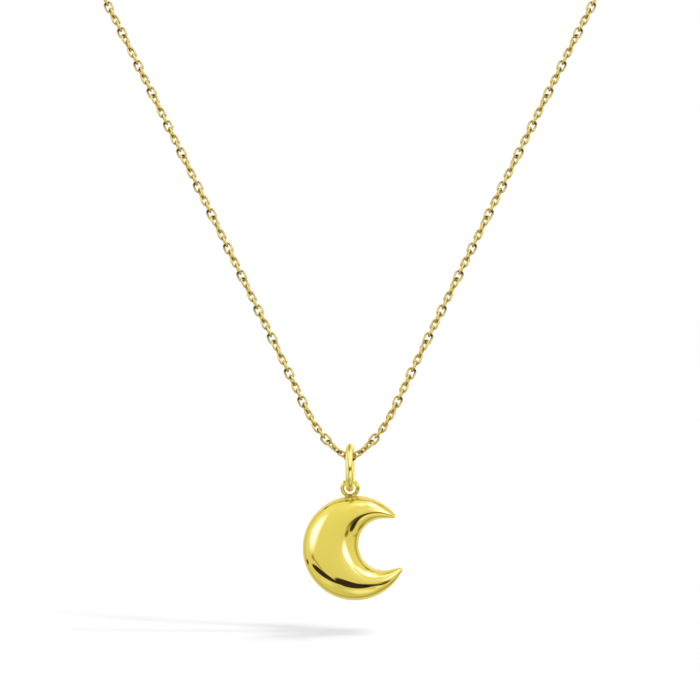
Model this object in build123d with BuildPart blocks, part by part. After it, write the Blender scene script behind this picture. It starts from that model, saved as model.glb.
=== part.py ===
"""Moon necklace: a puffed crescent hanging from a bail on a fine trace chain, closed at the nape."""

import math
import os

from build123d import *

# Chain, millimetres. Its links fill a round envelope, which the solid here follows.
chain_width = 1.12
link_wire = 0.26
chain_end_gap = 0.15

# Lowest point of the chain's V, in front of the neck's axis and below the part's origin.
v_front = 66.0
v_drop = 104.0

# Bail: an oval ring of round wire that the chain passes through.
bail_wire = 0.88
bail_height = 5.8
bail_depth = 3.9
bail_turn = 4.5
bail_clearance = 0.1

# Eye ring soldered to the crescent, threaded on the lowest bend of the bail.
eye_wire = 0.48
eye_clearance = 0.24
eye_sink = 0.24

# Solder foot under the eye ring, from its root inside the crescent to its top on the ring.
foot_width = 1.9
foot_depth = 1.0
foot_top_width = 1.1
foot_rise = 0.3
foot_root = 0.45

# Crescent: a round outside, a smaller round hollow set towards the open side, straight horns.
moon_radius = 6.29
hollow_radius = 3.11
hollow_shift = 3.55
horn_line_angle = 84.0
horn_end_width = 0.58
moon_thickness = 4.4
moon_tilt = 7.1
moon_shift = 0.6

# Each edge arc of the crescent's oval section turns through twice this angle.
edge_sweep = 55.0
section_count = 15

# Clasp at the nape: a plain ring with a small soldered eye on each side.
clasp_diameter = 5.2
clasp_wire = 1.0
clasp_eye_wire = 0.4
clasp_eye_clearance = 0.2
clasp_eye_sink = 0.3

# Places that follow from the sizes.
chain_radius = chain_width / 2
bail_radius = bail_wire / 2
bail_top = chain_radius + bail_clearance + bail_radius
bail_span = bail_height - bail_wire
bail_bend = (bail_depth - bail_wire) / 2
bail_foot = bail_top - bail_span
eye_radius = bail_radius + eye_clearance + eye_wire / 2
clasp_radius = (clasp_diameter - clasp_wire) / 2
clasp_eye_radius = link_wire / 2 + clasp_eye_clearance + clasp_eye_wire / 2
clasp_eye_place = clasp_diameter / 2 + clasp_eye_radius + clasp_eye_wire / 2 - clasp_eye_sink
clasp_reach = clasp_eye_place + clasp_eye_radius + clasp_eye_wire / 2

# Half of the chain's route, right of the bail, from the lowest run to the clasp: X, Y and Z from the
# lowest point. Seen from the front it is a straight V, then it goes round the neck to the nape.
half_route = [
    (0.9, 0.0, 0.0),
    (3.8, 0.7, 3.4),
    (5.85, 1.7, 6.95),
    (32.2, 18.0, 60.0),
    (44.2, 29.0, 80.5),
    (52.2, 43.0, 93.5),
    (55.8, 60.0, 102.0),
    (54.2, 78.0, 107.0),
    (46.2, 93.2, 110.5),
    (33.0, 105.0, 113.0),
    (17.5, 112.0, 114.5),
    (clasp_reach + chain_end_gap, 113.8, 115.0),
]

# Rounded end of a horn: how far past the last full section, and how wide there, both as shares of
# the horn's width.
horn_end = [
    {"beyond": 0.0, "width": 1.0},
    {"beyond": 0.14, "width": 0.93},
    {"beyond": 0.25, "width": 0.72},
    {"beyond": 0.31, "width": 0.40},
]

v_plane = Plane(origin=(0, -v_front, -v_drop))


def placed(x, y, z):
    """A point given from the lowest point of the chain's V, in the part's own frame."""
    return v_plane.from_local_coords(Vector(x, y, z))


def corner_radii(points):
    """The largest even bend that each corner of the route has room for."""
    radii = []
    for before, corner, after in zip(points, points[1:], points[2:]):
        arriving = corner - before
        leaving = after - corner
        turn = math.radians(arriving.get_angle(leaving))
        shorter = min(arriving.length, leaving.length)
        radii.append(0.45 * shorter / math.tan(turn / 2))
    return radii


def hollow_distance(angle):
    """From the hollow's centre to the crescent's inner line: a round, then straight to the horn."""
    from_opening = min(angle, 360 - angle)
    past_line = max(0.0, horn_line_angle - from_opening)
    return hollow_radius / math.cos(math.radians(past_line))


def outside_distance(angle):
    """From the hollow's centre to the crescent's round outside."""
    across = hollow_shift * math.sin(math.radians(angle))
    along = hollow_shift * math.cos(math.radians(angle))
    return math.sqrt(moon_radius**2 - across**2) - along


def band_width(angle):
    """Width of the crescent where a line from the hollow's centre crosses it."""
    return outside_distance(angle) - hollow_distance(angle)


def angle_at_width(width):
    """Angle on the way from the horn's corner to the widest place where the band is this wide."""
    low = 0.0
    high = 180.0
    for _ in range(60):
        middle = (low + high) / 2
        if band_width(middle) < width:
            low = middle
        else:
            high = middle
    return high


def thickness_at(width):
    """The crescent swells with its width, fully at the widest place and as a round at the horns."""
    share = min(1.0, width / band_width(180.0))
    return moon_thickness * (1 - (1 - share) ** 2)


def section_plane(moon_plane, angle):
    """Plane across the band at this angle, X outwards from the hollow's centre."""
    turn = math.radians(angle)
    outward = moon_plane.x_dir * math.cos(turn) + moon_plane.y_dir * math.sin(turn)
    along = moon_plane.y_dir * math.cos(turn) - moon_plane.x_dir * math.sin(turn)
    middle = (hollow_distance(angle) + outside_distance(angle)) / 2
    hollow_centre = moon_plane.from_local_coords(Vector(hollow_shift, 0, 0))
    return Plane(origin=hollow_centre + outward * middle, x_dir=outward, z_dir=along)


def oval(width, thickness):
    """A flat oval of four tangent arcs, joined where the edge arcs have swept the edge angle."""
    half_width = width / 2
    half_thickness = thickness / 2
    sweep = math.radians(edge_sweep)
    ratio = (1 - math.sin(sweep)) / math.cos(sweep)
    edge = (half_thickness - ratio * half_width) / (1 - ratio)
    face_radius = half_thickness + (half_width - edge) * math.tan(sweep)
    with BuildLine() as outline:
        CenterArc((half_width - edge, 0), edge, -edge_sweep, 2 * edge_sweep)
        CenterArc((0, half_thickness - face_radius), face_radius, edge_sweep, 180 - 2 * edge_sweep)
        CenterArc((edge - half_width, 0), edge, 180 - edge_sweep, 2 * edge_sweep)
        CenterArc(
            (0, face_radius - half_thickness), face_radius, 180 + edge_sweep, 180 - 2 * edge_sweep
        )
    make_face(outline.edges())


def add_ring(plane, radius, wire):
    """A closed ring of round wire lying in this plane, joined to the piece being made."""
    across = Plane(origin=plane.origin, x_dir=plane.x_dir, z_dir=plane.y_dir)
    with BuildSketch(across) as section:
        with Locations((radius, 0)):
            Circle(wire / 2)
    revolve(section.sketch, axis=Axis(plane.origin, plane.z_dir))


# Chain
right_side = [placed(x, y, z) for x, y, z in half_route]
left_side = [placed(-x, y, z) for x, y, z in reversed(half_route)]
route_points = left_side + right_side
route_radii = corner_radii(route_points)

with BuildPart() as chain:
    with BuildLine() as route:
        FilletPolyline(*route_points, radius=route_radii)
    with BuildSketch(Plane(origin=route.line @ 0, z_dir=route.line % 0)):
        Circle(chain_radius)
    sweep()
chain.part.label = "chain"

# Bail
turned = math.radians(bail_turn)
bail_plane = Plane(
    origin=placed(0, 0, bail_foot + bail_span / 2),
    x_dir=(math.sin(turned), math.cos(turned), 0),
    z_dir=(math.cos(turned), -math.sin(turned), 0),
)

with BuildPart() as bail:
    with BuildLine(bail_plane) as bail_line:
        straight = bail_span / 2 - bail_bend
        right = Line((bail_bend, -straight), (bail_bend, straight))
        ThreePointArc(right @ 1, (0, bail_span / 2), (-bail_bend, straight))
        left = Line((-bail_bend, straight), (-bail_bend, -straight))
        ThreePointArc(left @ 1, (0, -bail_span / 2), right @ 0)
    with BuildSketch(Plane(origin=bail_line.line @ 0, z_dir=bail_line.line % 0)):
        Circle(bail_radius)
    sweep()
bail.part.label = "bail"

# Moon
eye_place = placed(0, 0, bail_foot)
moon_drop = math.sqrt(moon_radius**2 - moon_shift**2) + eye_radius + eye_wire / 2 - eye_sink
tilt = math.radians(moon_tilt)
moon_plane = Plane(
    origin=eye_place + Vector(moon_shift, 0, -moon_drop),
    x_dir=(math.cos(tilt), 0, math.sin(tilt)),
    z_dir=(0, -1, 0),
)
horn_angle = angle_at_width(horn_end_width)
section_step = 2 * (180 - horn_angle) / (section_count - 1)

with BuildPart() as moon:
    for number in range(section_count):
        angle = horn_angle + number * section_step
        band = band_width(angle)
        with BuildSketch(section_plane(moon_plane, angle)):
            oval(band, thickness_at(band))
    loft()
    for angle, outward in ((horn_angle, -1), (360 - horn_angle, 1)):
        horn_plane = section_plane(moon_plane, angle)
        for row in horn_end:
            band = horn_end_width * row["width"]
            beyond = horn_end_width * row["beyond"] * outward
            with BuildSketch(horn_plane.offset(beyond)):
                oval(band, thickness_at(horn_end_width) * row["width"])
        loft(ruled=True)
    foot_plane = Plane(origin=eye_place - Vector(0, 0, eye_radius + eye_wire / 2 - eye_sink))
    with BuildSketch(foot_plane.offset(-foot_root)):
        Ellipse(foot_width / 2, foot_depth / 2)
    with BuildSketch(foot_plane.offset(foot_rise)):
        Ellipse(foot_top_width / 2, eye_wire / 2)
    loft()
    add_ring(Plane(origin=eye_place, x_dir=(1, 0, 0), z_dir=(0, -1, 0)), eye_radius, eye_wire)
moon.part.label = "moon"

# Clasp
clasp_place = placed(0, half_route[-1][1], half_route[-1][2])
clasp_plane = Plane(origin=clasp_place, x_dir=(1, 0, 0), z_dir=(0, -1, 0))

with BuildPart() as clasp:
    add_ring(clasp_plane, clasp_radius, clasp_wire)
    for side in (-1, 1):
        eye_centre = clasp_place + Vector(side * clasp_eye_place, 0, 0)
        eye_plane = Plane(origin=eye_centre, x_dir=(1, 0, 0), z_dir=(0, -1, 0))
        add_ring(eye_plane, clasp_eye_radius, clasp_eye_wire)
clasp.part.label = "clasp"

os.makedirs("parts", exist_ok=True)
for piece in (chain, bail, moon, clasp):
    export_step(piece.part, f"parts/{piece.part.label}.step")

route_length = sum(edge.length for edge in route.edges())
tube_volume = math.pi * chain_radius**2 * route_length
print("route radii", [round(radius, 1) for radius in route_radii])
print("tube length", round(route_length, 2), "volume share", round(chain.part.volume / tube_volume, 5))
print("length closed", round(route_length + 2 * half_route[-1][0], 2))
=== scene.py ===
"""Looks of the moon necklace: polished links, bail, crescent and clasp, in a white studio."""

import math

import bmesh
import bpy
from mathutils import Matrix, Quaternion, Vector


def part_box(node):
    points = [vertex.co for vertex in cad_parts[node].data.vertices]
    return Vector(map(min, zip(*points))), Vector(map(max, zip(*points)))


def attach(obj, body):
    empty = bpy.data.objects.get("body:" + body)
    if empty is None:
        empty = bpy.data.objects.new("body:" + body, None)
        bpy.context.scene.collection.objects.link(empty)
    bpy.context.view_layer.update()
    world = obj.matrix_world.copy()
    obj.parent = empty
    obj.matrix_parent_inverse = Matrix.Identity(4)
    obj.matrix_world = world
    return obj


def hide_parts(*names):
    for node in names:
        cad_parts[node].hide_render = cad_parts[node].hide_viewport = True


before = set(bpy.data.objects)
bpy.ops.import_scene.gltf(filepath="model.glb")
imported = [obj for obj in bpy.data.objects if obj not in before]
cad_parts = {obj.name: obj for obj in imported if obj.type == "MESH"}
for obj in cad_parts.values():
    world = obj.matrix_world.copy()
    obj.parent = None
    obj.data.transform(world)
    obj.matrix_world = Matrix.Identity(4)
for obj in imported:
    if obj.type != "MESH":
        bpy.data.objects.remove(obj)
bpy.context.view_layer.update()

MM = 0.001

# Camera: a long lens, level and straight in front, a little higher than the bail.
lens = 200.0
camera_place = Vector((0, -532.7, -91.24)) * MM

# Floor a little under the crescent. Its own glow and the lamps on its paint make it white.
floor_gap = 3.8 * MM
floor_reach = 6.0
floor_glow = 0.12
floor_paint = 0.12

# Lamps, by how far to the right and back they lie for one up: a row high up, from front to back, and
# two low ones whose shadows trail off to the left. The softness is how wide one looks from the
# floor, in degrees.
high_row_back = (-0.8, -0.4, 0.0, 0.4, 0.8)
high_lamp = {"right": 0.46, "softness": 24, "energy": 4.0}
low_lamps = [
    {"right": 2.2, "back": -2.1, "softness": 10, "energy": 7.2},
    {"right": 2.2, "back": -0.3, "softness": 10, "energy": 5.4},
]

# Points of one piece that lie nearer than this are one.
merge_distance = 0.0001 * MM

# Chain: round wire ovals, the lowest one inside the bail. The first few each side of it lie looser.
link_length = 1.66 * MM
link_width = 1.22 * MM
link_wire = 0.305 * MM
link_pitch = 0.977 * MM
loose_pitch = 0.91 * MM
loose_links = 10
link_sides = 12
link_wire_sides = 6

# How far each link lies turned about the chain from facing the front, in degrees: the loose ones,
# then nine that repeat, of which every fourth or fifth faces the front. Neighbours differ by 50
# degrees or more, or their wires would meet.
loose_turns = (120, 60, 118, 0, 78, 130, 72, 125, 62)
link_turns = (0, 74, 129, 62, 0, 74, 129, 64, 121)

# Painted shade on the dark side of a link: outwards and up on the ones that face the front, which past
# the loose ones are the links with these numbers of nine, and outwards and down on the others. It
# begins where a point's direction from the link's middle agrees this much with the dark one.
facing_links = (1, 5)
facing_shade_side = (0.8, -0.2, 0.55)
other_shade_side = (0.8, -0.2, -0.5)
side_shade_from = 0.86

# The photo's edge hides the links from this one on.
hidden_from = 66

# Lowest point of the chain's V, and half of its route from there: X to the right, Y back and Z up,
# in millimetres.
v_place = Vector((0, -66, -104))
half_route = [
    (0.9, 0.0, 0.0),
    (3.95, 0.7, 3.1),
    (5.93, 1.75, 6.95),
    (7.63, 2.81, 10.57),
    (20.92, 11.06, 37.41),
    (32.2, 18.0, 60.0),
    (44.2, 29.0, 80.5),
    (52.2, 43.0, 93.5),
    (55.8, 60.0, 102.0),
    (54.2, 78.0, 107.0),
    (46.2, 93.2, 110.5),
    (33.0, 105.0, 113.0),
    (17.5, 112.0, 114.5),
    (3.8, 113.73, 115.0),
]

# Crescent: a round outside and a smaller round hollow that is set towards the open side. Its horns
# run straight from the hollow and end in a round.
moon_radius = 6.29 * MM
hollow_radius = 3.11 * MM
hollow_shift = 3.55 * MM
horn_line_angle = math.radians(84)
horn_end_width = 0.58 * MM
horn_end_reach = 0.2 * MM
moon_thickness = 4.4 * MM
moon_tilt = math.radians(7.1)
moon_shift = 0.6 * MM

# Where the crest lies between the hollow and the outside, as a share of the crescent's width, and
# the power by which the edges are sharper than an oval's.
crest_share = 0.44
rim_sharpness = 1.3

# Eye ring, half of its wire sunk into the crescent's top.
eye_wire = 0.48 * MM
eye_radius = 0.92 * MM

# Solder foot: a core lofted through ovals, and a lump of solder each side of its front, in
# millimetres. Heights are over the ring's lowest point, sides to the right of it and fronts before it.
foot_ovals = [
    {"height": -0.60, "width": 1.7, "depth": 2.9},
    {"height": -0.35, "width": 1.6, "depth": 2.4},
    {"height": -0.10, "width": 1.4, "depth": 1.7},
    {"height": 0.12, "width": 1.15, "depth": 0.9},
    {"height": 0.40, "width": 0.85, "depth": 0.46},
]
foot_lumps = [
    {"side": -0.36, "height": -0.22, "front": 0.68, "width": 1.16, "depth": 1.1, "rise": 0.72},
    {"side": 0.30, "height": -0.18, "front": 0.68, "width": 1.0, "depth": 1.06, "rise": 0.7},
]

# Bail and clasp.
bail_wire = 0.88 * MM
bail_depth = 3.9 * MM
bail_turn = math.radians(4.5)
clasp_wire = 1.0 * MM
clasp_eye_wire = 0.4 * MM
clasp_eye_radius = 0.52 * MM

# Painted shade and dark reflections, in olive, on the front of the bail, the eye ring and the foot, in
# millimetres to the right of and over the V's lowest point. A row with a line is an oval outline that
# fades to each side over that share of the oval's reach. The other rows are spots that fade from their
# middle.
bail_shade_marks = [
    {"side": 0.01, "height": -0.05, "half_width": 0.29, "half_height": 1.4, "line": 0.35, "depth": 0.3},
    {"side": -0.06, "height": 1.02, "half_width": 0.19, "half_height": 0.75, "depth": 0.8},
    {"side": 0.06, "height": -2.45, "half_width": 0.235, "half_height": 1.05, "line": 0.4, "depth": 0.42},
    {"side": 0.3, "height": -2.45, "half_width": 0.13, "half_height": 0.7, "depth": 0.6},
    {"side": -0.05, "height": -1.47, "half_width": 0.2, "half_height": 0.28, "depth": 1.0},
    {"side": 0.08, "height": -3.53, "half_width": 0.15, "half_height": 0.15, "depth": 0.5},
]
eye_shade_marks = [
    {"side": -0.66, "height": -3.06, "half_width": 0.2, "half_height": 0.18, "depth": 0.9},
    {"side": -1.04, "height": -3.8, "half_width": 0.22, "half_height": 0.6, "depth": 0.5},
    {"side": 1.0, "height": -3.86, "half_width": 0.26, "half_height": 0.42, "depth": 0.95},
    {"side": 0.74, "height": -3.08, "half_width": 0.12, "half_height": 0.3, "depth": 0.5},
    {"side": 0.72, "height": -4.42, "half_width": 0.32, "half_height": 0.16, "depth": 0.7},
    {"side": -0.5, "height": -4.6, "half_width": 0.24, "half_height": 0.15, "depth": 0.6},
    {"side": -0.05, "height": -5.05, "half_width": 1.3, "half_height": 0.6, "depth": 0.28},
    {"side": -0.42, "height": -5.18, "half_width": 0.46, "half_height": 0.26, "depth": 0.42},
    {"side": 0.36, "height": -5.12, "half_width": 0.3, "half_height": 0.24, "depth": 0.6},
]

# How far before the V's plane the painted shade marks begin and where they are full, in millimetres.
# Marked gold is rougher, and its roughness grows faster than its colour by the gain.
marks_begin = 0.02
marks_full = 0.12
painted_shade_olive = (0.20, 0.145, 0.004)
mark_roughness = 0.42
mark_roughness_gain = 3.0

# Golds: the two colours that faint clouds mix, and how rough and how metallic each one is. The scales
# are the clouds'.
golds = {
    "moon": {
        "bright": (0.80, 0.665, 0.125),
        "deep": (0.77, 0.63, 0.110),
        "roughness": 0.03,
        "metallic": 1.0,
    },
    "bail": {
        "bright": (0.84, 0.71, 0.19),
        "deep": (0.80, 0.665, 0.125),
        "roughness": 0.3,
        "metallic": 0.95,
    },
    "clasp": {
        "bright": (0.80, 0.665, 0.125),
        "deep": (0.77, 0.63, 0.110),
        "roughness": 0.1,
        "metallic": 1.0,
    },
    "link": {
        "bright": (0.75, 0.60, 0.145),
        "deep": (0.62, 0.47, 0.092),
        "roughness": 0.07,
        "metallic": 1.0,
    },
}
gold_cloud_scale = 320.0
link_cloud_scale = 900.0

# Links get painted shade, brown, where one meets the next, and painted shade, brown, on their dark
# side. Where they meet they are also rougher. The gains say how soon each is full.
painted_touch_shade = (0.165, 0.105, 0.010)
touch_gain = 1.5
worn_roughness = 0.15
painted_side_shade = (0.085, 0.058, 0.005)
side_shade_gain = 1.8

# Studio: the room that the metal mirrors is an even field, a little brighter higher up, with soft
# boxes and dark things in it. Each is an oval, by its azimuth from the front towards the right, its
# elevation, width, height and turn, in degrees, and is full inside the inner share of its size. A box
# adds its light, which is bluish, so that gold shows it white. A dark thing takes the share of the
# light that its depth says, and one with a negative depth adds to it.
field_light = 0.97
field_rise = 0.0022
box_colour = (1.25, 1.5, 7.5)
soft_boxes = [
    {"azimuth": -67, "elevation": 18, "width": 42, "height": 62, "turn": 0, "inner": 0.15, "light": 0.8},
    {"azimuth": -82, "elevation": 25, "width": 72, "height": 100, "turn": 0, "inner": 0.1, "light": 0.07},
    {"azimuth": 51, "elevation": 12, "width": 34, "height": 58, "turn": -18, "inner": 0.15, "light": 0.95},
    {"azimuth": 38, "elevation": 27, "width": 20, "height": 20, "turn": 0, "inner": 0.15, "light": 0.25},
    {"azimuth": 58, "elevation": 49, "width": 42, "height": 38, "turn": 0, "inner": 0.3, "light": 0.8},
    {"azimuth": 72, "elevation": 61, "width": 68, "height": 20, "turn": 0, "inner": 0.15, "light": 0.5},
    {"azimuth": 30, "elevation": 68, "width": 120, "height": 24, "turn": 0, "inner": 0.15, "light": 0.26},
    {"azimuth": 26, "elevation": 58, "width": 32, "height": 24, "turn": 0, "inner": 0.15, "light": 0.25},
    {"azimuth": 28, "elevation": 16, "width": 40, "height": 60, "turn": 0, "inner": 0.1, "light": 0.05},
    {"azimuth": 140, "elevation": 35, "width": 68, "height": 68, "turn": 0, "inner": 0.15, "light": 0.07},
    {"azimuth": 135, "elevation": 69, "width": 140, "height": 26, "turn": 0, "inner": 0.1, "light": 0.3},
]
dark_things = [
    {"azimuth": -54, "elevation": -33, "width": 66, "height": 15, "turn": -19, "inner": 0.8, "depth": 0.985},
    {"azimuth": -1, "elevation": -36, "width": 70, "height": 30, "turn": 5, "inner": 0.8, "depth": 0.985},
    {"azimuth": 27, "elevation": -28, "width": 48, "height": 27, "turn": -8, "inner": 0.5, "depth": 0.93},
    {"azimuth": 57, "elevation": -32, "width": 42, "height": 18, "turn": -2, "inner": 0.6, "depth": 0.985},
    {"azimuth": 47, "elevation": -19, "width": 28, "height": 13, "turn": -10, "inner": 0.3, "depth": 0.75},
    {"azimuth": 100, "elevation": -22, "width": 44, "height": 10, "turn": 0, "inner": 0.2, "depth": 0.4},
    {"azimuth": 118, "elevation": -38, "width": 44, "height": 20, "turn": 0, "inner": 0.2, "depth": 0.5},
    {"azimuth": 110, "elevation": -55, "width": 60, "height": 32, "turn": 0, "inner": 0.2, "depth": 0.22},
    {"azimuth": 118, "elevation": 50, "width": 40, "height": 14, "turn": -4, "inner": 0.2, "depth": 0.45},
    {"azimuth": 25, "elevation": -70, "width": 170, "height": 44, "turn": 0, "inner": 0.3, "depth": -0.55},
    {"azimuth": 60, "elevation": -47, "width": 36, "height": 16, "turn": 0, "inner": 0.3, "depth": -0.5},
    {"azimuth": -68, "elevation": -47, "width": 52, "height": 20, "turn": -8, "inner": 0.2, "depth": -0.25},
    {"azimuth": -5, "elevation": 58, "width": 90, "height": 52, "turn": 0, "inner": 0.1, "depth": -0.08},
    {"azimuth": -68, "elevation": -13, "width": 18, "height": 12, "turn": 0, "inner": 0.2, "depth": 0.5},
    {"azimuth": -57, "elevation": -20, "width": 36, "height": 5.2, "turn": -34, "inner": 0.3, "depth": 0.6},
    {"azimuth": -104, "elevation": -18, "width": 26, "height": 9, "turn": -3, "inner": 0.3, "depth": 0.9},
    {"azimuth": -122, "elevation": 47, "width": 26, "height": 10, "turn": 4, "inner": 0.2, "depth": 0.8},
]

# Darker ring around the room, by its angle from the front. It is darker still on the right.
ring_angle = 110
ring_half_width = 14
ring_inner = 1.4
ring_depth = 0.34
ring_depth_right = 0.12

# Light of the soft boxes' colour that comes from the dark things themselves.
haze = 0.012

# Powers of what a dark thing leaves of red, green and blue, which make its soft edges brown.
dark_tint = (0.8, 0.97, 1.7)


# Shader maths

class Shade:
    """A socket of a node tree. Operators on it add Math nodes, and new adds any other node."""

    def __init__(self, tree, socket=None):
        self.tree = tree
        self.socket = socket

    def new(self, kind, settings=None, values=None, output=0):
        """A node of this kind, with its settings made first, then the values or links of its sockets."""
        node = self.tree.nodes.new("ShaderNode" + kind)
        for name, setting in (settings or {}).items():
            setattr(node, name, setting)
        for name, value in (values or {}).items():
            if isinstance(value, Shade):
                self.tree.links.new(value.socket, node.inputs[name])
            else:
                node.inputs[name].default_value = value
        return Shade(self.tree, node.outputs[output] if node.outputs else None)

    def other(self, output):
        """Another output of the node that this socket belongs to."""
        return Shade(self.tree, self.socket.node.outputs[output])

    def maths(self, operation, *values):
        return self.new("Math", {"operation": operation}, dict(enumerate(values)))

    def __add__(self, other):
        return self.maths("ADD", self, other)

    def __radd__(self, other):
        return self.maths("ADD", other, self)

    def __sub__(self, other):
        return self.maths("SUBTRACT", self, other)

    def __rsub__(self, other):
        return self.maths("SUBTRACT", other, self)

    def __mul__(self, other):
        return self.maths("MULTIPLY", self, other)

    def __rmul__(self, other):
        return self.maths("MULTIPLY", other, self)

    def __truediv__(self, other):
        return self.maths("DIVIDE", self, other)

    def __pow__(self, other):
        return self.maths("POWER", self, other)

    def __neg__(self):
        return self.maths("MULTIPLY", self, -1.0)

    def __abs__(self):
        return self.maths("ABSOLUTE", self)


# Meshes

def finished(name, shape, body, replaced, finish):
    """Turns a bmesh into a smooth piece that rides on a body and stands for a solid."""
    bmesh.ops.remove_doubles(shape, verts=shape.verts, dist=merge_distance)
    bmesh.ops.recalc_face_normals(shape, faces=shape.faces)
    for face in shape.faces:
        face.smooth = True
    mesh = bpy.data.meshes.new(name)
    shape.to_mesh(mesh)
    shape.free()
    mesh.materials.append(finish)
    piece = bpy.data.objects.new(name, mesh)
    bpy.context.scene.collection.objects.link(piece)
    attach(piece, body)
    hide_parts(replaced)


def edges_at(verts):
    """The edges at these verts, each once and always in the same order."""
    return list(dict.fromkeys(edge for vert in verts for edge in vert.link_edges))


def spun_ring(shape, radius, wire, steps, sides, straight=0.0):
    """Adds a ring of round wire in the XY plane, or an oval one drawn out along X."""
    section = bmesh.ops.create_circle(shape, segments=sides, radius=wire / 2)["verts"]
    bmesh.ops.rotate(shape, verts=section, matrix=Matrix.Rotation(math.pi / 2, 3, "X"))
    bmesh.ops.translate(shape, verts=section, vec=(radius, 0, 0))
    half_step = math.pi / steps
    bmesh.ops.rotate(shape, verts=section, matrix=Matrix.Rotation(half_step, 3, "Z"))
    made = len(shape.verts) - len(section)
    bmesh.ops.spin(
        shape,
        geom=section + edges_at(section),
        cent=(0, 0, 0),
        axis=(0, 0, 1),
        steps=steps,
        angle=2 * math.pi,
        use_merge=True,
    )
    shape.verts.ensure_lookup_table()
    ring = shape.verts[made:]
    for vert in ring:
        vert.co.x += math.copysign(straight / 2, vert.co.x)
    return ring


def put(shape, verts, origin, x_dir, z_dir):
    """Moves verts made about the origin to a place, with their X and Z axes laid along these."""
    x_axis = Vector(x_dir).normalized()
    z_axis = Vector(z_dir)
    z_axis = (z_axis - z_axis.project(x_axis)).normalized()
    y_axis = z_axis.cross(x_axis)
    turn = Matrix((x_axis, y_axis, z_axis)).transposed().to_4x4()
    bmesh.ops.transform(shape, matrix=Matrix.Translation(origin) @ turn, verts=verts)


# Chain

def route_points():
    """Points along the smooth line through the whole route, left end first."""
    right = [v_place + Vector(point) for point in half_route]
    left = [Vector((-point.x, point.y, point.z)) for point in reversed(right)]
    points = left + right
    line = bpy.data.curves.new("route", "CURVE")
    line.dimensions = "3D"
    line.resolution_u = 40
    spline = line.splines.new("NURBS")
    spline.points.add(len(points) - 1)
    for spline_point, point in zip(spline.points, points):
        spline_point.co = (*(point * MM), 1.0)
    spline.order_u = 3
    spline.use_endpoint_u = True
    holder = bpy.data.objects.new("route", line)
    mesh = bpy.data.meshes.new_from_object(holder)
    places = [vert.co.copy() for vert in mesh.vertices]
    bpy.data.objects.remove(holder)
    bpy.data.meshes.remove(mesh)
    bpy.data.curves.remove(line)
    return places


def right_half(places):
    """The part of the line right of its lowest point, beginning there."""
    return [v_place * MM] + [place for place in places[len(places) // 2:] if place.x > 0]


def line_length(line):
    """Length of a line of points."""
    return sum((after - before).length for before, after in zip(line, line[1:]))


def place_along(line, distance):
    """The point this far along a line, which goes on straight before and past its ends."""
    for before, after in zip(line, line[1:]):
        run = (after - before).length
        if distance <= run or after is line[-1]:
            return before + (after - before) * (distance / run)
        distance -= run


def link_seats(line):
    """Middle, direction and unturned normal of each link from the lowest one to the clasp."""
    loose = loose_links * loose_pitch
    taut_links = round((line_length(line) - loose) / link_pitch)
    taut_pitch = (line_length(line) - loose) / taut_links
    places = [number * loose_pitch for number in range(loose_links)]
    places += [loose + number * taut_pitch for number in range(taut_links + 1)]
    direction = Vector((1, 0, 0))
    normal = Vector((0, -1, 0))
    seats = [(line[0], direction, normal)]
    for place in places[1:]:
        ahead = place_along(line, place + link_pitch / 2)
        behind = place_along(line, place - link_pitch / 2)
        new_direction = (ahead - behind).normalized()
        normal = direction.rotation_difference(new_direction) @ normal
        direction = new_direction
        seats.append((place_along(line, place), direction, normal))
    return seats


def link_angles(seats):
    """Turn of each link. On the hidden stretch they drift until the last one lies flat."""
    count = len(seats) - 1
    _, direction, normal = seats[-1]
    flat = math.atan2(direction.cross(normal).z, normal.z)
    plain = [0.0] + [math.radians(turn) for turn in loose_turns]
    for number in range(count - len(loose_turns)):
        plain.append(math.radians(link_turns[number % len(link_turns)]))
    drift = (flat - plain[-1] + math.pi / 2) % math.pi - math.pi / 2
    angles = []
    for number, angle in enumerate(plain):
        share = max(0, number - hidden_from) / (count - hidden_from)
        angles.append(angle + drift * share)
    return angles


def one_link():
    """A link lying along X, with the touch of its inner ends kept for the painted shade of its finish."""
    shape = bmesh.new()
    bend = (link_width - link_wire) / 2
    straight = link_length - link_width
    spun_ring(shape, bend, link_wire, link_sides, link_wire_sides, straight)
    bmesh.ops.remove_doubles(shape, verts=shape.verts, dist=merge_distance)
    bmesh.ops.recalc_face_normals(shape, faces=shape.faces)
    touch = shape.verts.layers.float.new("touch")
    # This layer holds the painted shade of the link's dark side.
    shape.verts.layers.float.new("edge")
    for vert in shape.verts:
        centre = Vector((math.copysign(straight / 2, vert.co.x), 0, 0))
        outward = vert.co - centre
        inner = (bend - outward.to_2d().length) / (link_wire / 2)
        at_end = abs(outward.x) / outward.to_2d().length
        vert[touch] = max(0.0, 0.5 + 0.5 * inner) * at_end**2
    return shape


def paint_side_shade(shape, link, middle, mirror, number):
    """Paints shade on the part of a link that turns to the dark side of the room, outside the V."""
    edge = shape.verts.layers.float["edge"]
    faces_front = number % len(link_turns) in facing_links
    toward = Vector(facing_shade_side if faces_front else other_shade_side) * mirror
    for vert in link:
        reach = (vert.co - middle).normalized().dot(toward.normalized())
        vert[edge] = max(0.0, reach - side_shade_from) / (1 - side_shade_from)


def make_chain(finish):
    """Threads the links on both halves of the route, the lowest one on its own."""
    template = one_link()
    link_mesh = bpy.data.meshes.new("link")
    template.to_mesh(link_mesh)
    template.free()
    shape = bmesh.new()
    line = right_half(route_points())
    seats = link_seats(line)
    angles = link_angles(seats)
    for number, ((middle, direction, normal), angle) in enumerate(zip(seats, angles)):
        turned = Quaternion(direction, angle) @ normal
        for side in (1, -1) if number else (1,):
            made = len(shape.verts)
            shape.from_mesh(link_mesh)
            shape.verts.ensure_lookup_table()
            mirror = Vector((side, 1, 1))
            link = shape.verts[made:]
            put(shape, link, middle * mirror, direction * mirror, turned * mirror)
            paint_side_shade(shape, link, middle * mirror, mirror, number)
    bpy.data.meshes.remove(link_mesh)
    finished("trace_chain", shape, "necklace", "chain", finish)


# Crescent

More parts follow.
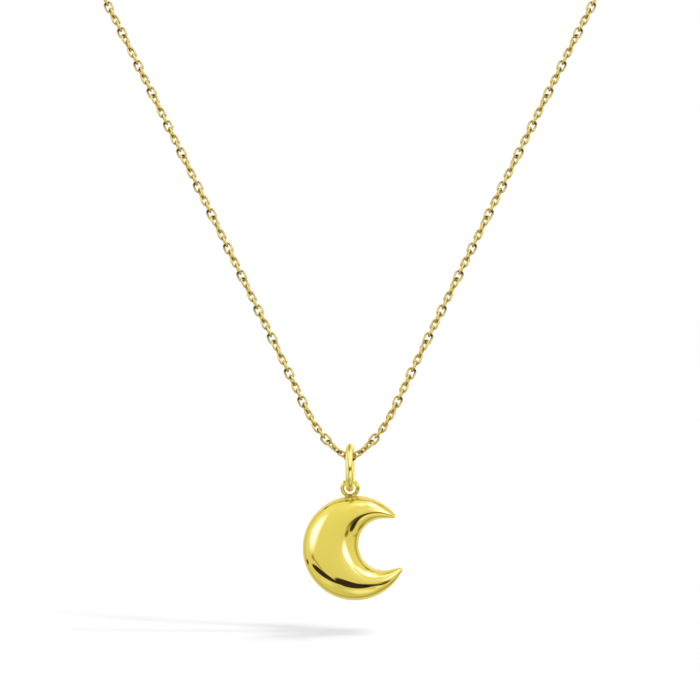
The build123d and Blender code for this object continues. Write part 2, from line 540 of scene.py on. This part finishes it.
def hollow_distance(angle):
    """From the hollow's centre to the crescent's inner line: a round, then straight to the horn."""
    from_opening = min(angle, 2 * math.pi - angle)
    return hollow_radius / math.cos(max(0.0, horn_line_angle - from_opening))


def band_width(angle):
    """Width of the crescent where a line from the hollow's centre crosses it."""
    across = hollow_shift * math.sin(angle)
    along = hollow_shift * math.cos(angle)
    return math.sqrt(moon_radius**2 - across**2) - along - hollow_distance(angle)


def angle_at_width(width):
    """Angle on the way from the horn's corner to the widest place where the band is this wide."""
    low = 0.0
    high = math.pi
    for _ in range(60):
        middle = (low + high) / 2
        if band_width(middle) < width:
            low = middle
        else:
            high = middle
    return high


def moon_stations(band_steps, tip_steps):
    """From horn to horn, an angle, how far past the full horn, and the share of its width there."""
    horn_angle = angle_at_width(horn_end_width)
    stations = []
    for step in range(tip_steps):
        turn = math.pi / 2 * (1 - step / tip_steps)
        stations.append((horn_angle, -horn_end_reach * math.sin(turn), math.cos(turn)))
    for step in range(band_steps + 1):
        angle = horn_angle + (2 * math.pi - 2 * horn_angle) * step / band_steps
        stations.append((angle, 0.0, 1.0))
    for step in range(1, tip_steps + 1):
        turn = math.pi / 2 * step / tip_steps
        reach = horn_end_reach * math.sin(turn)
        stations.append((2 * math.pi - horn_angle, reach, math.cos(turn)))
    return stations


def on_moon(station, around):
    """A point of the crescent's skin in its own plane, Z towards the front."""
    angle, beyond, share = station
    width = band_width(angle)
    middle = hollow_distance(angle) + width / 2
    swell = 1 - (1 - width / band_width(math.pi)) ** 2
    reach = math.cos(around)
    crest = (crest_share - 0.5) * width
    to_edge = width / 2 + (-crest if reach > 0 else crest)
    out = middle + share * (crest + to_edge * reach)
    rise = math.copysign(abs(math.sin(around)) ** rim_sharpness, math.sin(around))
    outward = Vector((math.cos(angle), math.sin(angle), 0))
    along = Vector((-math.sin(angle), math.cos(angle), 0))
    front = Vector((0, 0, share * swell * moon_thickness / 2 * rise))
    return Vector((hollow_shift, 0, 0)) + outward * out + along * beyond + front


def add_foot(shape, level):
    """Lofts the solder foot through its ovals, from inside the crescent up onto the ring."""
    unit_radius = 0.5 * MM
    below = None
    for row in foot_ovals:
        circle = bmesh.ops.create_circle(shape, cap_ends=False, segments=28, radius=unit_radius)
        verts = circle["verts"]
        bmesh.ops.scale(shape, verts=verts, vec=(row["width"], row["depth"], 1))
        bmesh.ops.translate(shape, verts=verts, vec=level + Vector((0, 0, row["height"] * MM)))
        edges = edges_at(verts)
        if below:
            bmesh.ops.bridge_loops(shape, edges=below + edges)
        else:
            bmesh.ops.edgeloop_fill(shape, edges=edges)
        below = edges
    bmesh.ops.edgeloop_fill(shape, edges=below)
    for row in foot_lumps:
        lump = bmesh.ops.create_uvsphere(shape, u_segments=24, v_segments=14, radius=unit_radius)
        verts = lump["verts"]
        bmesh.ops.scale(shape, verts=verts, vec=(row["width"], row["depth"], row["rise"]))
        place = level + Vector((row["side"], -row["front"], row["height"])) * MM
        bmesh.ops.translate(shape, verts=verts, vec=place)


def make_moon(finish):
    """The crescent's skin, with the ring half sunk into its top and the solder foot under that."""
    shape = bmesh.new()
    stations = moon_stations(band_steps=220, tip_steps=8)
    around_steps = 72
    columns = len(stations) - 1
    bmesh.ops.create_grid(shape, x_segments=columns, y_segments=around_steps, size=0.5)
    for vert in shape.verts:
        station = stations[round((vert.co.x + 0.5) * columns)]
        around = 2 * math.pi * (vert.co.y + 0.5)
        vert.co = on_moon(station, around)
    eye_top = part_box("moon")[1].z
    eye_centre = Vector((0, v_place.y * MM, eye_top - eye_radius - eye_wire / 2))
    moon_drop = math.sqrt(moon_radius**2 - moon_shift**2) + eye_radius
    moon_centre = eye_centre + Vector((moon_shift, 0, -moon_drop))
    tilted = (math.cos(moon_tilt), 0, math.sin(moon_tilt))
    put(shape, list(shape.verts), moon_centre, tilted, (0, -1, 0))
    ring = spun_ring(shape, eye_radius, eye_wire, steps=48, sides=20)
    put(shape, ring, eye_centre, (1, 0, 0), (0, -1, 0))
    foot_level = eye_centre - Vector((0, 0, eye_radius + eye_wire / 2))
    add_foot(shape, foot_level)
    finished("crescent", shape, "moon", "moon", finish)


# Bail and clasp

def make_bail(finish):
    """An oval ring of round wire that stands across the chain, turned a little to the left."""
    shape = bmesh.new()
    low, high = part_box("bail")
    straight = high.z - low.z - bail_depth
    bend = (bail_depth - bail_wire) / 2
    ring = spun_ring(shape, bend, bail_wire, steps=48, sides=24, straight=straight)
    sideways = (math.cos(bail_turn), -math.sin(bail_turn), 0)
    put(shape, ring, (low + high) / 2, (0, 0, 1), sideways)
    finished("bail_ring", shape, "bail", "bail", finish)


def make_clasp(finish):
    """A plain ring with a small eye soldered on each side."""
    shape = bmesh.new()
    low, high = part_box("clasp")
    middle = (low + high) / 2
    clasp_radius = (high.z - low.z - clasp_wire) / 2
    ring = spun_ring(shape, clasp_radius, clasp_wire, steps=48, sides=20)
    put(shape, ring, middle, (1, 0, 0), (0, -1, 0))
    eye_place = high.x - clasp_eye_radius - clasp_eye_wire / 2
    for side in (-1, 1):
        eye = spun_ring(shape, clasp_eye_radius, clasp_eye_wire, steps=32, sides=14)
        put(shape, eye, middle + Vector((side * eye_place, 0, 0)), (1, 0, 0), (0, -1, 0))
    finished("nape_clasp", shape, "necklace", "clasp", finish)


# Finishes

def new_finish(name):
    """A material with an empty node tree, and the Shade that fills it."""
    material = bpy.data.materials.new(name)
    material.use_nodes = True
    material.node_tree.nodes.clear()
    return material, Shade(material.node_tree)


def mixed(shade, share, first, second):
    """From one colour to another, each a socket or three numbers."""
    first = first if isinstance(first, Shade) else (*first, 1)
    second = second if isinstance(second, Shade) else (*second, 1)
    values = {"Factor": share, "A": first, "B": second}
    return shade.new("Mix", {"data_type": "RGBA"}, values, output=2)


def soft_edge(value, inner, outer):
    """1 where the value is under inner, 0 past outer, and smooth between."""
    return value.new(
        "MapRange",
        {"interpolation_type": "SMOOTHSTEP"},
        {"Value": value, "From Min": inner, "From Max": outer, "To Min": 1.0, "To Max": 0.0},
    )


def metal(shade, colour, roughness, metallic):
    """Ends a material in a metal of this colour and roughness, each one value or a socket."""
    surface = shade.new(
        "BsdfPrincipled",
        {},
        {"Base Color": colour, "Metallic": metallic, "Roughness": roughness},
    )
    shade.new("OutputMaterial", {}, {"Surface": surface})


def painted_shade_marks(shade, place, rows):
    """How much painted shade and dark reflection there is at a place, on what faces the front."""
    across = shade.new("SeparateXYZ", {}, {"Vector": place})
    begin = (v_place.y - marks_begin) * MM
    full = (v_place.y - marks_full) * MM
    front = soft_edge(across.other("Y"), full, begin)
    marks = 0.0
    for row in rows:
        wide = (across - row["side"] * MM) / (row["half_width"] * MM)
        high = (across.other("Z") - (v_place.z + row["height"]) * MM) / (row["half_height"] * MM)
        reach = (wide * wide + high * high) ** 0.5
        if "line" in row:
            mark = soft_edge(abs(reach - 1.0), 0.0, row["line"])
        else:
            mark = soft_edge(reach, 0.0, 1.0)
        marks = mark * row["depth"] + marks
    return front.maths("MINIMUM", marks * front, 1.0)


def gold(name, look, rows=()):
    """Polished gold with faint clouds, and with the painted shade and dark reflections of these rows."""
    material, shade = new_finish(name)
    place = shade.new("TexCoord", output="Object")
    cloud = shade.new("TexNoise", {}, {"Vector": place, "Scale": gold_cloud_scale, "Detail": 3.0})
    colour = mixed(shade, cloud, look["bright"], look["deep"])
    roughness = look["roughness"]
    if rows:
        marks = painted_shade_marks(shade, place, rows)
        # Painted shade and dark reflections, in olive, over the gold.
        colour = mixed(shade, marks, colour, painted_shade_olive)
        rough = marks.maths("MINIMUM", marks * mark_roughness_gain, 1.0)
        roughness = rough * mark_roughness + roughness
    metal(shade, colour, roughness, look["metallic"])
    return material


def link_gold(name, look):
    """Gold of the links, with painted shade where one link meets the next and on their dark side."""
    material, shade = new_finish(name)
    place = shade.new("TexCoord", output="Object")
    cloud = shade.new("TexNoise", {}, {"Vector": place, "Scale": link_cloud_scale, "Detail": 2.0})
    clean = mixed(shade, cloud, look["bright"], look["deep"])
    # Painted shade, brown, where one link meets the next, which is also rougher there.
    touch = shade.new("Attribute", {"attribute_name": "touch"}, output="Fac")
    touch_shade_and_wear = touch.maths("MINIMUM", touch * touch_gain, 1.0)
    # Painted shade, brown, on the dark side of each link.
    edge = shade.new("Attribute", {"attribute_name": "edge"}, output="Fac")
    side_shade = edge.maths("MINIMUM", edge * side_shade_gain, 1.0)
    colour = mixed(shade, side_shade, mixed(shade, touch_shade_and_wear, clean, painted_touch_shade), painted_side_shade)
    metal(shade, colour, touch_shade_and_wear * worn_roughness + look["roughness"], look["metallic"])
    return material


# Studio, lamps, floor and camera

def patch(azimuth, elevation, row):
    """An oval area of the studio's walls, soft from its inner share to its edge."""
    turn = math.radians(row["turn"])
    across = azimuth - row["azimuth"]
    upward = elevation - row["elevation"]
    wide = (across * math.cos(turn) + upward * math.sin(turn)) / (row["width"] / 2)
    high = (upward * math.cos(turn) - across * math.sin(turn)) / (row["height"] / 2)
    reach = (wide * wide + high * high) ** 0.5
    return soft_edge(reach, row["inner"], 1.0)


def studio():
    """White to the camera and the floor. The metal mirrors a room of soft boxes and dark things."""
    world = bpy.data.worlds.new("studio")
    world.use_nodes = True
    bpy.context.scene.world = world
    world.node_tree.nodes.clear()
    shade = Shade(world.node_tree)
    direction = shade.new("TexCoord", output="Generated")
    across = shade.new("SeparateXYZ", {}, {"Vector": direction})
    front = -across.other("Y")
    up = across.other("Z")
    degree = 180 / math.pi
    azimuth = across.maths("ARCTAN2", across, front) * degree
    elevation = up.maths("ARCSINE", up) * degree
    away = front.maths("ARCCOSINE", front) * degree
    field = elevation * field_rise + field_light
    glow = 0.0
    for row in soft_boxes:
        glow = patch(azimuth, elevation, row) * row["light"] + glow
    ring = soft_edge(abs(away - ring_angle), ring_inner, ring_half_width)
    kept = 1 - ring * (across * ring_depth_right + ring_depth)
    for row in dark_things:
        kept = kept * (1 - patch(azimuth, elevation, row) * row["depth"])
    lost = kept.maths("MAXIMUM", 1 - kept, 0.0) * haze
    channels = {}
    for axis, box, tint in zip("XYZ", box_colour, dark_tint):
        channels[axis] = (field + glow * box) * kept**tint + lost * box
    colour = shade.new("CombineXYZ", {}, channels)
    path = shade.new("LightPath")
    plain = path.maths("MAXIMUM", path.other("Is Camera Ray"), path.other("Is Diffuse Ray"))
    seen = mixed(shade, plain, colour, (1, 1, 1))
    background = shade.new("Background", {}, {"Color": seen, "Strength": 1.0})
    shade.new("OutputWorld", {}, {"Surface": background})


def make_lamps():
    """Soft lamps. The floor takes their faint shadows, and the metal doesn't mirror them."""
    high_lamps = [{**high_lamp, "back": back} for back in high_row_back]
    for row in high_lamps + low_lamps:
        data = bpy.data.lights.new("lamp", "SUN")
        data.energy = row["energy"]
        data.angle = math.radians(row["softness"])
        lamp = bpy.data.objects.new("lamp", data)
        toward = Vector((row["right"], row["back"], 1))
        lamp.rotation_euler = toward.to_track_quat("Z", "Y").to_euler()
        lamp.visible_glossy = False
        bpy.context.scene.collection.objects.link(lamp)


def make_floor():
    """A plain white floor that the metal doesn't mirror."""
    shape = bmesh.new()
    bmesh.ops.create_grid(shape, x_segments=1, y_segments=1, size=floor_reach)
    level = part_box("moon")[0].z - floor_gap
    bmesh.ops.translate(shape, verts=shape.verts, vec=(0, 0, level))
    mesh = bpy.data.meshes.new("floor")
    shape.to_mesh(mesh)
    shape.free()
    material, shade = new_finish("floor_paint")
    surface = shade.new(
        "BsdfPrincipled",
        {},
        {
            "Base Color": (*[floor_paint] * 3, 1),
            "Roughness": 1.0,
            "Specular IOR Level": 0.0,
            "Emission Color": (1, 1, 1, 1),
            "Emission Strength": floor_glow,
        },
    )
    shade.new("OutputMaterial", {}, {"Surface": surface})
    mesh.materials.append(material)
    floor = bpy.data.objects.new("floor", mesh)
    bpy.context.scene.collection.objects.link(floor)
    floor.visible_glossy = False


def make_camera():
    """A level camera that looks straight back along Y."""
    data = bpy.data.cameras.new("camera")
    data.lens = lens
    data.sensor_width = 36
    data.clip_start = 0.01
    data.clip_end = 50
    camera = bpy.data.objects.new("camera", data)
    camera.location = camera_place
    camera.rotation_euler = (math.pi / 2, 0, 0)
    bpy.context.scene.collection.objects.link(camera)
    bpy.context.scene.camera = camera


# The whole picture

make_camera()
bpy.context.scene.view_settings.view_transform = "Standard"
studio()
make_floor()
make_lamps()
make_moon(gold("moon_polish", golds["moon"], eye_shade_marks))
make_bail(gold("bail_polish", golds["bail"], bail_shade_marks))
make_clasp(gold("clasp_polish", golds["clasp"]))
make_chain(link_gold("link_polish", golds["link"]))
